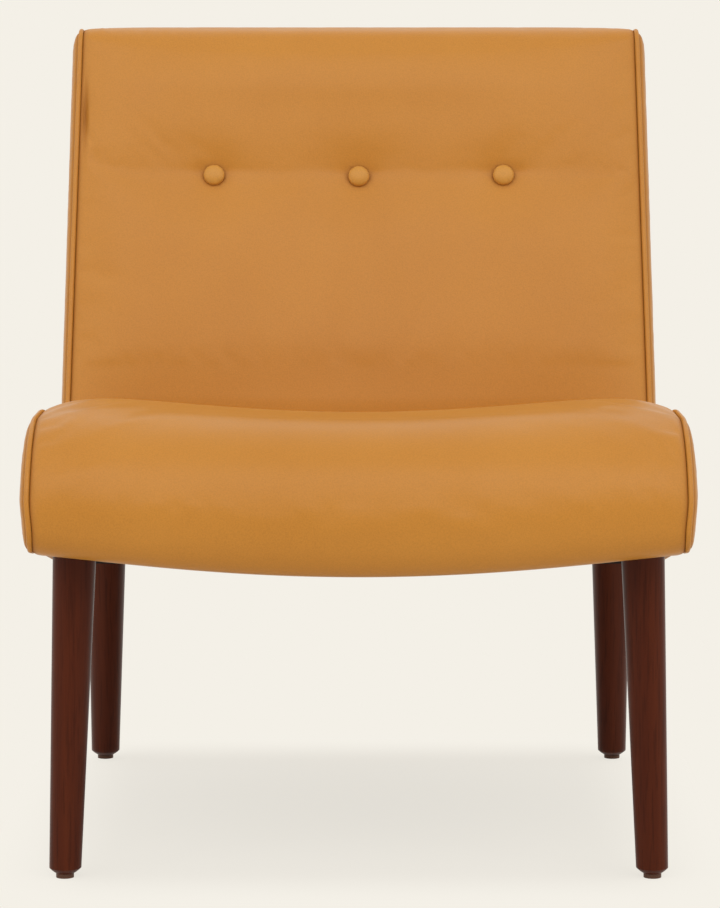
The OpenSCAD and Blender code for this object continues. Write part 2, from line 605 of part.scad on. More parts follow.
// Corner blocks: flat below on the underside's slope, with a bore and a sunk seat for the T-nut
block_behind = 18;
block_ahead = 48;
front_block_y = front_rail_front + rail_t;
front_block_end = front_block_y + block_len;
FRONT_BLOCK = [[front_block_y, under_z(front_block_y) + frame_lift],
    [front_block_y, under_z(front_block_y) + frame_lift + block_h],
    [front_block_end, under_z(front_block_end) + frame_lift + block_h],
    [front_block_end, under_z(front_block_end) + frame_lift]];
rear_block_end = rear_top + block_behind;
rear_block_start = rear_top - block_ahead;
REAR_BLOCK = [[rear_block_start, heel_z(rear_block_start) + frame_lift],
    [rear_block_start, heel_z(rear_block_start) + frame_lift + block_h],
    [rear_block_end, heel_z(rear_block_end) + frame_lift + block_h],
    [rear_block_end, heel_z(rear_block_end) + frame_lift]];
module leg_bore(side, rear) {
    at_leg(side, rear) {
        translate([0, 0, leg_len(rear) - 20])
            cylinder(d = nut_barrel_d + 2 * pin_clear, h = 2 * block_h, $fn = 32);
        translate([0, 0, nut_len(rear)]) cylinder(d = nut_flange_d + 1, h = 2 * block_h, $fn = 32);
    }
}
nut_flange_d = 18;
module corner_blocks() {
    color([0.72, 0.55, 0.34]) for (side = [-1, 1], rear = [false, true]) difference() {
        on_both(side) plate(rear ? REAR_BLOCK : FRONT_BLOCK, rib_half - block_w, rib_half);
        leg_bore(side, rear);
    }
}
module leg_t_nuts() {
    color([0.70, 0.70, 0.72]) for (side = [-1, 1], rear = [false, true]) at_leg(side, rear) difference() {
        union() {
            translate([0, 0, nut_len(rear)]) cylinder(d = nut_flange_d, h = nut_flange, $fn = 32);
            translate([0, 0, nut_len(rear) - 14]) cylinder(d = nut_barrel_d, h = 14.5, $fn = 32);
        }
        translate([0, 0, nut_len(rear) - 20]) cylinder(d = bolt_d + 2 * pin_clear, h = 40, $fn = 32);
    }
}
module leg_hanger_bolts() {
    color([0.75, 0.75, 0.77]) for (side = [-1, 1], rear = [false, true]) at_leg(side, rear)
        translate([0, 0, leg_len(rear) - bolt_reach])
            cylinder(d = bolt_d, h = nut_len(rear) - leg_len(rear) + bolt_reach + 1, $fn = 32);
}
module leg_glides() {
    color([0.55, 0.54, 0.52]) for (side = [-1, 1], rear = [false, true]) on_both(side)
        translate(foot(rear)) {
            cylinder(d = glide_d, h = glide_h, $fn = 48);
            translate([0, 0, glide_h - 0.5]) cylinder(d = nail_d, h = nail_len + 0.5, $fn = 24);
        }
}
module frame_screws() { color([0.72, 0.68, 0.50]) screws(0); }

module leg_front_left() { leg(-1, false); }
module leg_front_right() { leg(1, false); }
module leg_rear_left() { leg(-1, true); }
module leg_rear_right() { leg(1, true); }

// Cloth under the seat, between the two hems, with a hole at each bolt
CLOTH_PATH = concat([seat_arc[0] + hem_dir * (hem + 1.5)], [for (k = [ARC_STEPS[7]:-1:0]) arc_at(7)[k]],
    [last(arc_at(6)) + heel_dir * (rear_hem + 1.5)]);
module dust_cover() {
    profile = let(m = normals(CLOTH_PATH)) concat(
        [for (i = [0:len(CLOTH_PATH) - 1]) CLOTH_PATH[i] + m[i] * under_face],
        [for (i = [len(CLOTH_PATH) - 1:-1:0]) CLOTH_PATH[i] + m[i] * (under_face + under_cloth)]);
    color([0.10, 0.10, 0.11]) difference() {
        plate(profile, -frame_half, frame_half);
        for (side = [-1, 1], rear = [false, true]) at_leg(side, rear)
            translate([0, 0, leg_len(rear) - 20]) cylinder(d = bolt_d + 2, h = 40, $fn = 32);
    }
}

// Seat springs: a meander in the spring plane, drawn with a square section
spring_start = DECK_FRONT.x;
function spring_z(y) = deck_z(y) - spring_drop;
spring_run = spring_rail_y + rail_t / 2 - spring_start;
bends = 2 * floor(spring_run / spring_pitch / 2);
spring_tilt = atan(deck_dir.y / deck_dir.x);
MEANDER = [for (k = [0:8 * bends]) [spring_run / cos(spring_tilt) * k / (8 * bends),
    (spring_w - spring_wire) / 2 * meander_wave(k)]];
function meander_wave(k) = let(w = sin(45 * k)) sign(w) * pow(abs(w), 0.6);
spring_half = rib_half - 50;
spring_gap = 2 * spring_half / (spring_count - 1);
module seat_springs() {
    color([0.45, 0.46, 0.48]) for (i = [0:spring_count - 1])
        translate([-spring_half + i * spring_gap, spring_start, spring_z(spring_start) - spring_wire / 2])
            rotate([spring_tilt, 0, 0]) linear_extrude(spring_wire)
                polygon([for (p = band(MEANDER, spring_wire / 2, -spring_wire / 2)) [p.y, p.x]]);
}
clip_w = 18;
clip_len = 16;
module spring_clips() {
    color([0.60, 0.60, 0.62]) for (i = [0:spring_count - 1], y = [spring_start, spring_start + spring_run])
        translate([-spring_half + i * spring_gap, y, spring_z(y) - spring_wire / 2 - 0.2])
            difference() {
                translate([-clip_w / 2, -clip_len / 2, -clip_h + spring_wire + 2.4])
                    cube([clip_w, clip_len, clip_h - spring_wire - 2.8]);
                translate([0, 0, -20]) cylinder(d = 2, h = 30, $fn = 24);
            }
}
module spring_felt() {
    y0 = front_rail_front + rail_t + 1;
    y1 = spring_rail_y + rail_t;
    color([0.55, 0.53, 0.50]) plate([[y0, deck_z(y0) - clear], [y1, deck_z(y1) - clear],
        [y1, deck_z(y1) - clear - felt_t], [y0, deck_z(y0) - clear - felt_t]], -rib_half + 4, rib_half - 4);
}
strap_gap = button_gap / 2;
STRAP = board(P_CREASE, back_dir, 42, top_rail_end - 2, back_foam_t + clear, back_foam_t + clear + strap_t);
module back_webbing() {
    color([0.15, 0.15, 0.16]) difference() {
        for (k = [-3:3]) plate(STRAP, k * strap_gap - strap_w / 2, k * strap_gap + strap_w / 2);
        button_holes(90);
    }
}

shank_len = 9;
shank_d = 3;
twine_d = 2;
twine_hole_d = shank_d + 1.4;
// A button's own frame: on the leather at its dimple, Z along the back's outward direction
button_share = shares(BACK_PATH)[7];
function button_height(k) = back_rise(button_share, k * button_gap, on_back(button_rise, 0), k * bu);
module at_button(k) {
    base = on_back(button_rise, -button_height(k));
    translate([k * button_gap, base.x, base.y]) rotate([atan2(-back_out.x, back_out.y), 0, 0]) children();
}
module button_holes(depth) {
    for (k = [-1:1]) at_button(k) translate([0, 0, -depth])
        cylinder(d = twine_hole_d, h = depth + 15, $fn = 24);
}
module tufting_buttons() {
    r = button_d / 2;
    color([0.80, 0.56, 0.27]) for (k = [-1:1]) at_button(k) translate([0, 0, 0.6]) difference() {
        rotate_extrude($fn = 48) polygon(concat([[0, 0], [r - 0.6, 0], [r, 0.8]],
            [for (a = [15:15:90]) [r * cos(a), 1 + (button_t - 1) * sin(a)]]));
        translate([0, 0, -1]) cylinder(d = button_d - 5, h = 2.6, $fn = 48);
    }
}
module button_backs() {
    color([0.70, 0.70, 0.72]) for (k = [-1:1]) at_button(k) {
        translate([0, 0, 0.7]) cylinder(d = button_d - 5.6, h = 1.3, $fn = 48);
        translate([0, 0, -shank_len]) cylinder(d = shank_d, h = shank_len + 1, $fn = 24);
    }
}
module tufting_twines() {
    color([0.90, 0.88, 0.80]) for (k = [-1:1]) at_button(k)
        translate([0, 0, -twine_reach(k)])
            cylinder(d = twine_d, h = twine_reach(k) - shank_len, $fn = 24);
}
// From a button down to behind the webbing
function twine_reach(k) = back_foam_t + strap_t + toggle_t + 0.6 + button_height(k);
toggle_d = 20;
toggle_t = 2.4;
module twine_toggles() {
    color([0.85, 0.85, 0.83]) for (k = [-1:1]) at_button(k) difference() {
        translate([0, 0, -twine_reach(k)]) cylinder(d = toggle_d, h = toggle_t, $fn = 32);
        translate([0, 0, -twine_reach(k) - 1]) cylinder(d = twine_d + 2 * pin_clear, h = 6, $fn = 24);
    }
}

module side_cover_left() { side_cover(-1); }
module side_cover_right() { side_cover(1); }
module side_pad_left() { side_pad(-1); }
module side_pad_right() { side_pad(1); }
module side_frame_left() { side_frame(-1); }
module side_frame_right() { side_frame(1); }
module welt_left() { welt(-1); }
module welt_right() { welt(1); }

seat_cover();
back_cover();
outer_back_cover();
side_cover_left();
side_cover_right();
welt_left();
welt_right();
tufting_buttons();
button_backs();
tufting_twines();
twine_toggles();
seat_foam();
back_foam();
side_pad_left();
side_pad_right();
outer_back_pad();
outer_back_board();
side_frame_left();
side_frame_right();
front_rail();
spring_rail();
lower_back_rail();
top_back_rail();
rear_rail();
corner_blocks();
frame_screws();
seat_springs();
spring_clips();
spring_felt();
back_webbing();
leg_front_left();
leg_front_right();
leg_rear_left();
leg_rear_right();
leg_hanger_bolts();
leg_t_nuts();
leg_glides();
dust_cover();
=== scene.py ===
"""Leather lounge chair without arms: its upholstery, legs and studio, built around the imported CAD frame."""
import bpy
import numpy as np
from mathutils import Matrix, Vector


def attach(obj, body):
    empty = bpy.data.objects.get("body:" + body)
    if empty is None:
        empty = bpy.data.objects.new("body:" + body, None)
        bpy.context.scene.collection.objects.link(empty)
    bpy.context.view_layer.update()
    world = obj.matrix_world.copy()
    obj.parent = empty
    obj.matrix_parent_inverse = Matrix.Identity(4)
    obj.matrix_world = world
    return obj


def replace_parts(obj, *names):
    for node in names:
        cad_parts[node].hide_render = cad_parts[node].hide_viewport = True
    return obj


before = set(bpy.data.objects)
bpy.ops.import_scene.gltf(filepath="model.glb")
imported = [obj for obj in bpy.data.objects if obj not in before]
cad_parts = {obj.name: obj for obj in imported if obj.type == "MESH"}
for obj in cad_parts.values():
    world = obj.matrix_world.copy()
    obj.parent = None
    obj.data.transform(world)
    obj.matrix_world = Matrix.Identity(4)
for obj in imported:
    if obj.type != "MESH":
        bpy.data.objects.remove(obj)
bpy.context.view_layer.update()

MM = 0.001
BODY = "root"

# The side outline of part.scad: corners as (Y, Z) in millimetres, clockwise seen from the right
HEM, ROLL, FALL, CREASE, LIP, CREST, HEEL, BELLY = range(8)
CORNERS = np.array([(-386, 343), (-386, 464), (-209, 462), (124, 410),
                    (296, 844), (410, 836), (270, 262), (60, 256)], float)
WELT_R = 2.8
RADII = [26, 98, 300, WELT_R + 0.4, 22, 34, 26, 260]
# Half width between the side seams at the top, its growth for each millimetre down, and how far the
# seams are drawn back in from TUCK_TOP down
TOP_HALF, FLARE, TOP_Z = 316.6, 0.0145, 845
TUCK, TUCK_TOP, TUCK_FADE = 3, 395, 38
EDGE_GAP = WELT_R + 0.3
# How far the leather runs back under the seat from the front corner and forward from the rear one
FRONT_HEM, REAR_HEM = 24, 12
UNDER_FACE, CLOTH_T, CLOTH_GAP, CLOTH_HANG = 8, 0.9, 1.5, 3
CLOTH_STEP, CLOTH_FOLD_T, CLOTH_FOLD_W = 6, 0.5, 11
FRAME_HALF, FLANGE_X = 312, 309.4
FOAM_T, WADDING_T, LEATHER_T = 19.5, 6, 2
BUTTON_RISE, BUTTON_GAP, BUTTON_R, BUTTON_T = 291, 163, 12, 6.5
BUTTON_RIM, BUTTON_LIFT, PLEATS, PLEAT_DEPTH = 0.9, 0.6, 16, 0.014
FOOT_X, FOOT_Y, FOOT_R, TOP_R = 295.5, 300, 16, 22
# Directions of the right front leg and the right rear leg, by whether it is a rear one, from the foot
# up. A leg has FOOT_R at CONE_LOW along it, and TOP_R at CONE_HIGH past its top.
LEAN = {False: (-11.5, 10, 321), True: (-9, -85, 245)}
CONE_LOW, CONE_HIGH, CUT_GAP = 2, 10, 0.1
GLIDE_H, CHAMFER_IN, CHAMFER_UP, CHAMFER_ROUND = 4.5, 6.6, 5.5, 0.5


def unit(v):
    """Vectors at length one."""
    return v / np.linalg.norm(v, axis=-1, keepdims=True)


def left(v):
    """Plane vectors turned a quarter to the left, which is outward on the clockwise outline."""
    return np.stack([-v[..., 1], v[..., 0]], -1)


def corner_arc(a, b, c, radius, steps=24):
    """Arc that rounds corner b between a and c: centre at b plus the bisector times radius over the
    sine of half the corner, and the points turn evenly from one tangent point to the other."""
    u1, u2 = unit(a - b), unit(c - b)
    wedge = np.arccos(u1 @ u2) / 2
    centre = b + unit(u1 + u2) * radius / np.sin(wedge)
    start = b + u1 * radius / np.tan(wedge) - centre
    e1, e2 = b - a, c - b
    turn = (np.pi - 2 * wedge) * np.sign(e1[0] * e2[1] - e1[1] * e2[0])
    t = np.arctan2(start[1], start[0]) + turn * np.linspace(0, 1, steps + 1)
    return centre + radius * np.stack([np.cos(t), np.sin(t)], -1)


ARCS = [corner_arc(CORNERS[i - 1], CORNERS[i], CORNERS[(i + 1) % 8], RADII[i]) for i in range(8)]
HEM_DIR = unit(CORNERS[BELLY] - CORNERS[HEM])
HEEL_DIR = unit(CORNERS[BELLY] - CORNERS[HEEL])
BACK_DIR = unit(CORNERS[LIP] - CORNERS[CREASE])
BACK_OUT = left(BACK_DIR)
FRONT_EDGE = ARCS[HEM][0] + HEM_DIR * FRONT_HEM
REAR_EDGE = ARCS[HEEL][-1] + HEEL_DIR * REAR_HEM


def even_count(points, count):
    """The polyline as count points at equal distances."""
    run = np.concatenate([[0], np.cumsum(np.linalg.norm(np.diff(points, axis=0), axis=1))])
    t = np.linspace(0, run[-1], count)
    return np.stack([np.interp(t, run, points[:, k]) for k in range(points.shape[1])], -1)


def even_path(points, step):
    """The polyline's points moved to equal distances along it, about step apart."""
    length = np.linalg.norm(np.diff(points, axis=0), axis=1).sum()
    return even_count(points, int(np.ceil(length / step)) + 1)


def curve(table, t):
    """Smooth curve through a table's points that never overshoots them: between two points a cubic
    whose end slopes are the harmonic means of the neighbouring slopes."""
    x, y = np.array(table, float).T
    h, d = np.diff(x), np.diff(y) / np.diff(x)
    m = np.zeros(len(x))
    same = d[1:] * d[:-1] > 0
    m[1:-1][same] = 2 * d[1:][same] * d[:-1][same] / (d[1:] + d[:-1])[same]
    m[0], m[-1] = d[0], d[-1]
    t = np.clip(t, x[0], x[-1])
    k = np.clip(np.searchsorted(x, t, side="right") - 1, 0, len(h) - 1)
    s = (t - x[k]) / h[k]
    return (y[k] * (1 + 2 * s) * (1 - s) ** 2 + m[k] * h[k] * s * (1 - s) ** 2
            + y[k + 1] * s * s * (3 - 2 * s) + m[k + 1] * h[k] * s * s * (s - 1))


def smooth(t):
    """Zero below nought, one above one, and 3t^2 - 2t^3 between."""
    k = np.clip(t, 0, 1)
    return k * k * (3 - 2 * k)


def half_at(z):
    """Half width at the side seam for a height: the seam stands further out lower down, and is drawn
    in a little towards the hems."""
    return TOP_HALF + (TOP_Z - z) * FLARE - TUCK * smooth((TUCK_TOP - z) / TUCK_FADE)


def columns(count, gather=1.7):
    """Shares of the half width from -1 to 1, closer together near the two side seams."""
    t = np.linspace(-1, 1, count)
    return np.sign(t) * (1 - (1 - np.abs(t)) ** gather)


def quads(rows, cols, wrap=False):
    """Corner numbers of the faces of a grid whose points are counted row by row."""
    i, j = np.meshgrid(np.arange(rows - 1), np.arange(cols if wrap else cols - 1), indexing="ij")
    k = (j + 1) % cols
    corners = [i * cols + j, (i + 1) * cols + j, (i + 1) * cols + k, i * cols + k]
    return np.stack(corners, -1).reshape(-1, 4)


def outward(points, faces):
    """The faces of closed shells turned to point out: the shells' volume, the sum of the pyramids
    from the origin over all faces, is positive when they do."""
    volume = 0
    for part in faces:
        a = points[part[:, 0]]
        for k in range(1, part.shape[1] - 1):
            volume += np.einsum("ij,ij->", a, np.cross(points[part[:, k]], points[part[:, k + 1]]))
    return faces if volume > 0 else [part[:, ::-1] for part in faces]


def make_piece(name, points, faces, material, slot, sharp=50, marks=None):
    """A mesh object on the chair's body, from points in millimetres and a list of face arrays. Marks
    are values for each point that the material reads by name."""
    points = np.asarray(points, float).reshape(-1, 3)
    loops = [corners for part in outward(points, faces) for corners in part.tolist()]
    mesh = bpy.data.meshes.new(name)
    mesh.from_pydata((points * MM).tolist(), [], loops)
    mesh.validate()
    mesh.polygons.foreach_set("use_smooth", np.ones(len(mesh.polygons), bool))
    mesh.set_sharp_from_angle(angle=np.radians(sharp))
    for key, values in (marks or {}).items():
        mark = mesh.attributes.new(key, "FLOAT", "POINT")
        mark.data.foreach_set("value", values.ravel().astype(np.float32))
    mesh.materials.append(material)
    piece = bpy.data.objects.new(name, mesh)
    bpy.context.scene.collection.objects.link(piece)
    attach(piece, BODY)
    return piece


def slab(top, under):
    """Points and faces of a closed slab between two grids of the same size."""
    rows, cols = top.shape[:2]
    m = rows * cols
    faces = quads(rows, cols)
    ring = np.concatenate([np.arange(cols - 1), np.arange(rows - 1) * cols + cols - 1,
                           m - 1 - np.arange(cols - 1), (rows - 1 - np.arange(rows - 1)) * cols])
    after = np.roll(ring, -1)
    rim = np.stack([ring, after, after + m, ring + m], -1)
    points = np.concatenate([top.reshape(-1, 3), under.reshape(-1, 3)])
    return points, [faces, faces[:, ::-1] + m, rim]


def closed_rings(rings):
    """Points and faces of a closed body through a list of rings, with a middle point at either end."""
    n, sides = rings.shape[:2]
    around = np.arange(sides)
    after = (around + 1) % sides
    caps = np.concatenate([np.stack([np.full(sides, n * sides), around, after], -1),
                           np.stack([np.full(sides, n * sides + 1), (n - 1) * sides + after,
                                     (n - 1) * sides + around], -1)])
    points = np.concatenate([rings.reshape(-1, 3), rings[[0, -1]].mean(1)])
    return points, [quads(n, sides, True)[:, ::-1], caps]


# How full the sections stand over the outline, by share of the path from its lower or front end: the
# crown of the seat, the hang of its front edge, the bow of its front and the dish where people sit,
# then the crown of the back and the sag of its middle, which is in millimetres
SEAT_PUFF = [(0, 0), (.04, .06), (.1, .32), (.2, .74), (.34, .88), (.42, 1.04), (.5, 1), (.8, .78),
             (.93, .42), (1, 0)]
SEAT_ARCH = [(0, .2), (.03, .85), (.05, 1), (.07, .97), (.1, .82), (.15, .5), (.2, .25), (.27, .05),
             (.32, 0), (1, 0)]
SEAT_BOW = [(0, 0), (.04, .6), (.07, 1), (.16, 1), (.3, .3), (.36, 0), (1, 0)]
SEAT_SAG = [(0, 0), (.2, .2), (.35, .9), (.5, 1), (.8, .8), (1, 0)]
BACK_PUFF = [(0, 0), (.05, .45), (.15, .88), (.4, 1), (.65, .87), (.75, .36), (.8, .12), (.92, .05), (1, 0)]
BACK_SAG = [(0, 0), (.1, 5), (.3, 9), (.6, 6), (.75, 0), (1, 0)]
# Heights and reaches in millimetres
SEAT_CROWN, SEAT_BELLY, SEAT_DROOP, SEAT_DISH = 12, 5, 19.5, 17
BACK_CROWN, OUTER_CROWN, DIMPLE, DIMPLE_REACH = 17, 6, 3.5, 11
VALLEY, VALLEY_ROUND, VALLEY_ABOVE, VALLEY_BELOW = 10, 14, 70, 42
FOLD, FOLD_RISE, FOLD_HALF, FOLD_START, FOLD_REACH = 1.6, 5, 7, 14, 42
PULL, PULL_RISE, PULL_LENGTH, PULL_IN, PULL_HALF = 4.5, 73, 38, 5, 3.5
DOME_REACH, TURN_REACH, RIM_RISE, SIDE_BULGE, BULGE_GAIN = 30, 14, 2.6, 9, 0.0035
ROLL_RISE, ROLL_REACH, WELT_SUNK, HEM_SUNK = 1.9, 4, 0.8, 2.4
# How fast the seams' darkening fades, which is painted shade with some dirt, and the strength of that painted
# shade in the groove and on the side panels
SEAM_FADE, PULL_SHADE, PANEL_SHADE = 1.8, 0.6, 0.5


def seam_roll(u, path):
    """Height of the leather's roll beside the welt: full a few millimetres in from the seam."""
    return ROLL_RISE * (1 - np.exp(-(half_at(path[..., 1]) - EDGE_GAP) * (1 - np.abs(u)) / ROLL_REACH))


def seat_rise(s, u, path):
    """Height of the seat's leather over the outline: the roll at the seams, a crown that fades
    towards them and a bow of the front, less the dish where people sit."""
    return (seam_roll(u, path) + SEAT_CROWN * curve(SEAT_PUFF, s) * (1 - u ** 12)
            + SEAT_BELLY * curve(SEAT_BOW, s) * (1 - u * u)
            - SEAT_DISH * curve(SEAT_SAG, s) * (1 - u * u) ** 2)


def front_droop(s, u):
    """How far the seat's front edge hangs down, most in the middle: SEAT_DROOP (1 - u^2)^1.3 at the
    edge, fading up the front and back along the hem."""
    return SEAT_DROOP * curve(SEAT_ARCH, s) * np.maximum(1 - u * u, 0) ** 1.3


def from_button(u, path):
    """Distance across and up from the nearest button."""
    x = np.abs(u * (half_at(path[..., 1]) - EDGE_GAP))
    return np.minimum(x, np.abs(x - BUTTON_GAP)), (path - CORNERS[CREASE]) @ BACK_DIR - BUTTON_RISE


def left_pull(u, path):
    """How deep the leather is drawn in beside the left welt, from 0 to 1: a short upright groove."""
    gap = (1 + u) * half_at(path[..., 1])
    t = from_button(u, path)[1]
    return np.exp(-((gap - PULL_IN) / PULL_HALF) ** 2 - ((t - PULL_RISE) / PULL_LENGTH) ** 2)


def back_rise(s, u, path):
    """Height of the inside back's leather: the roll at the seams and a crown, less the sag of the
    middle, the valley through the buttons, a dimple round each button that fades as the exponential
    of the distance from its rim, a short fold on either side of it, and the pull at the left seam."""
    x, t = from_button(u, path)
    dimple = np.exp(-np.maximum(np.hypot(0.8 * x, t) - BUTTON_R, 0) / DIMPLE_REACH)
    fold = (FOLD * np.exp(-((t - FOLD_RISE) / FOLD_HALF) ** 2)
            * smooth(x / FOLD_START) * np.exp(-(x / FOLD_REACH) ** 2))
    slope = np.where(t > 0, VALLEY_ABOVE, VALLEY_BELOW)
    valley = np.exp((VALLEY_ROUND - np.hypot(t, VALLEY_ROUND)) / slope) * (1 - u ** 4)
    return (seam_roll(u, path) + BACK_CROWN * curve(BACK_PUFF, s) * (1 - u ** 6)
            - curve(BACK_SAG, s) * (1 - u * u) ** 2 - VALLEY * valley
            - DIMPLE * dimple - fold - PULL * left_pull(u, path))


def outer_rise(s, u, path):
    """Height of the outside back's leather: the roll at the seams, gone at the hem and the top, and a
    low crown."""
    roll = seam_roll(u, path) * smooth(s / 0.03) * smooth((1 - s) / 0.05)
    return roll + OUTER_CROWN * np.sin(np.pi * s) * (1 - u ** 4)


# The leather is sewn down past SEWN of the half width and of the path, and lies still up to STILL of
# the path
FRAMES, UNEVEN, SEWN, STILL = 20, 0.12, 0.985, 0.11


def puffed(grid, held, slack, cap, seed):
    """The grid as a leather sheet sewn down at its held points and blown up from within. Cloth is
    simulated on every other row and column, cut a little too large by the slack and uneven by a
    fraction of a millimetre, and no point moves more than the cap. The moves are then spread over
    the fine grid by weights that fall off evenly."""
    rows, cols = grid.shape[:2]
    pick = [np.unique(np.linspace(0, n - 1, n // 2 + 1).round().astype(int)) for n in (rows, cols)]
    coarse = grid[np.ix_(*pick)]
    pinned = held[np.ix_(*pick)]
    start = coarse + np.random.default_rng(seed).normal(0, UNEVEN, coarse.shape) * ~pinned[..., None]
    mesh = bpy.data.meshes.new("trial")
    mesh.from_pydata((start.reshape(-1, 3) * MM).tolist(), [], quads(*coarse.shape[:2])[:, ::-1].tolist())
    sheet = bpy.data.objects.new("trial", mesh)
    scene = bpy.context.scene
    scene.collection.objects.link(sheet)
    sheet.vertex_groups.new(name="held").add(np.flatnonzero(pinned.ravel()).tolist(), 1.0, "REPLACE")
    cloth = sheet.modifiers.new("cloth", "CLOTH")
    cloth.settings.vertex_group_mass = "held"
    cloth.settings.quality = 6
    cloth.settings.mass = 0.4
    cloth.settings.tension_stiffness = cloth.settings.compression_stiffness = 80
    cloth.settings.shear_stiffness = 12
    cloth.settings.bending_stiffness = 8
    cloth.settings.use_pressure = True
    cloth.settings.uniform_pressure_force = 4
    cloth.settings.shrink_min = -slack
    cloth.settings.effector_weights.gravity = 0
    cloth.collision_settings.use_collision = False
    cloth.point_cache.frame_start, cloth.point_cache.frame_end = 1, FRAMES
    for number in range(FRAMES):
        scene.frame_set(number + 1)
    done = sheet.evaluated_get(bpy.context.evaluated_depsgraph_get()).to_mesh()
    ends = np.empty(len(done.vertices) * 3)
    done.vertices.foreach_get("co", ends)
    bpy.data.objects.remove(sheet)
    scene.frame_set(1)
    move = ends.reshape(coarse.shape) / MM - coarse
    size = np.linalg.norm(move, axis=-1, keepdims=True)
    move *= cap * np.tanh(size / cap) / np.maximum(size, 1e-9)
    move[pinned] = 0
    share = [np.stack([np.interp(np.arange(n), p, e) for e in np.eye(len(p))], -1)
             for n, p in zip((rows, cols), pick)]
    return grid + np.einsum("ra,abk,cb->rck", share[0], move, share[1])


def cushion(name, path, step, cols, rise, depth, material, slot, slack, cap, seed):
    """A padded section: its leather is the path carried across the chair and lifted along the path's
    normal by the rise, and its inner face lies the depth under the path. Both depend on s, the share
    of the path, and u, the share of the half width. The seat's front edge then hangs down by its
    droop. The leather is marked by its nearness to a seam: the exponential of the distance. On the
    back the mark also rises round each button and along the left groove. The leather material darkens
    by this mark, which is painted shade, with some dirt at the seams."""
    path = even_path(path, step)
    n = left(unit(np.gradient(path, axis=0)))
    s = np.linspace(0, 1, len(path))[:, None] + 0 * cols
    u = 0 * s + cols
    p = path[:, None, :] + np.zeros_like(u)[..., None]
    half = half_at(p[..., 1]) - EDGE_GAP
    x = u * half
    lift = rise(s, u, p)
    seam_gap = np.minimum(half * (1 - np.abs(u)), step * (len(path) - 1) * (1 - s))
    held = (np.abs(u) > SEWN) | (s > SEWN) | (s < STILL)
    if rise is back_rise:
        button_gap = np.hypot(*from_button(u, p))
        # Painted shade in the dimple round each button: the seam mark rises towards its rim
        seam_gap = np.minimum(seam_gap, np.maximum(button_gap - BUTTON_R + 1, 0))
        held |= button_gap < BUTTON_R + 2
    seam = np.exp(-seam_gap / SEAM_FADE)
    if rise is back_rise:
        # Painted shade in the groove beside the left welt
        seam = np.maximum(seam, PULL_SHADE * left_pull(u, p))
    top = np.concatenate([x[..., None], p + n[:, None, :] * lift[..., None]], -1)
    low = np.concatenate([x[..., None], p - n[:, None, :] * depth(s, u, x)[..., None]], -1)
    if rise is seat_rise:
        top[..., 2] -= front_droop(s, u)
    top = puffed(top, held, slack, cap, seed)
    points, faces = slab(top, low)
    return make_piece(name, points, faces, material, slot, marks={"seam": np.tile(seam, (2, 1, 1))})


def srgb(r, g, b):
    """Linear colour of an 8-bit screen colour."""
    c = np.array([r, g, b]) / 255
    return tuple(np.where(c <= 0.04045, c / 12.92, ((c + 0.055) / 1.055) ** 2.4)) + (1.0,)


def grey(value):
    """A neutral colour of the given strength."""
    return (value, value, value, 1.0)


class Tree:
    """The nodes and links of a material or of the world."""

    def __init__(self, tree):
        self.nodes, self.links = tree.nodes, tree.links

    def set(self, node, values):
        """Inputs of a node, by name or number, set to a value or linked to a socket."""
        for key, value in values.items():
            if isinstance(value, bpy.types.NodeSocket):
                self.links.new(value, node.inputs[key])
            else:
                node.inputs[key].default_value = value

    def add(self, kind, inputs=None, output=0, **settings):
        """A node of that kind with its settings and inputs; gives one of its outputs."""
        node = self.nodes.new("ShaderNode" + kind)
        for key, value in settings.items():
            setattr(node, key, value)
        self.set(node, inputs or {})
        return node.outputs[output]

    def math(self, operation, a, b=0.0):
        return self.add("Math", {0: a, 1: b}, operation=operation)

    def span(self, value, low, high):
        """A value from 0 to 1 moved to the span from low to high."""
        return self.add("MapRange", {"Value": value, "To Min": low, "To Max": high})

    def blend(self, share, a, b):
        """Two shaders mixed by a share."""
        return self.add("MixShader", {0: share, 1: a, 2: b})


class Finish(Tree):
    """A material under construction: its nodes, links and shader."""

    def __init__(self, name, roughness, **sockets):
        self.material = bpy.data.materials.new(name)
        self.material.use_nodes = True
        super().__init__(self.material.node_tree)
        self.shader = self.nodes["Principled BSDF"]
        self.place = self.nodes.new("ShaderNodeTexCoord").outputs["Object"]
        named = {key.replace("_", " "): value for key, value in sockets.items()}
        self.set(self.shader, {"Roughness": roughness, **named})

    def stretched(self, scale, turn=(0, 0, 0)):
        """Object coordinates turned, then divided by a scale along each axis."""
        return self.add("Mapping", {"Vector": self.place, "Scale": scale, "Rotation": turn},
                        vector_type="TEXTURE")

    def noise(self, scale, detail=3, roughness=0.5, at=None, distortion=0):
        return self.add("TexNoise", {"Vector": at or self.place, "Scale": scale, "Detail": detail,
                                     "Roughness": roughness, "Distortion": distortion})

    def ramp(self, value, stops):
        """Colour ramp over a value, between two stops, each a place and its colour."""
        node = self.nodes.new("ShaderNodeValToRGB")
        self.links.new(value, node.inputs[0])
        for element, (at, colour) in zip(node.color_ramp.elements, stops):
            element.position, element.color = at, colour
        return node.outputs[0]

    def mix(self, share, a, b, blend="MIX"):
        """Two colours mixed by a share."""
        return self.add("Mix", {0: share, 6: a, 7: b}, 2, data_type="RGBA", blend_type=blend)

    def bump(self, height, distance, strength=1.0):
        return self.add("Bump", {"Height": height, "Distance": distance, "Strength": strength})

    def finish(self, colour, normal, roughness):
        """The material, with its shader's colour, normal and roughness linked."""
        self.set(self.shader, {"Base Color": colour, "Normal": normal, "Roughness": roughness})
        return self.material


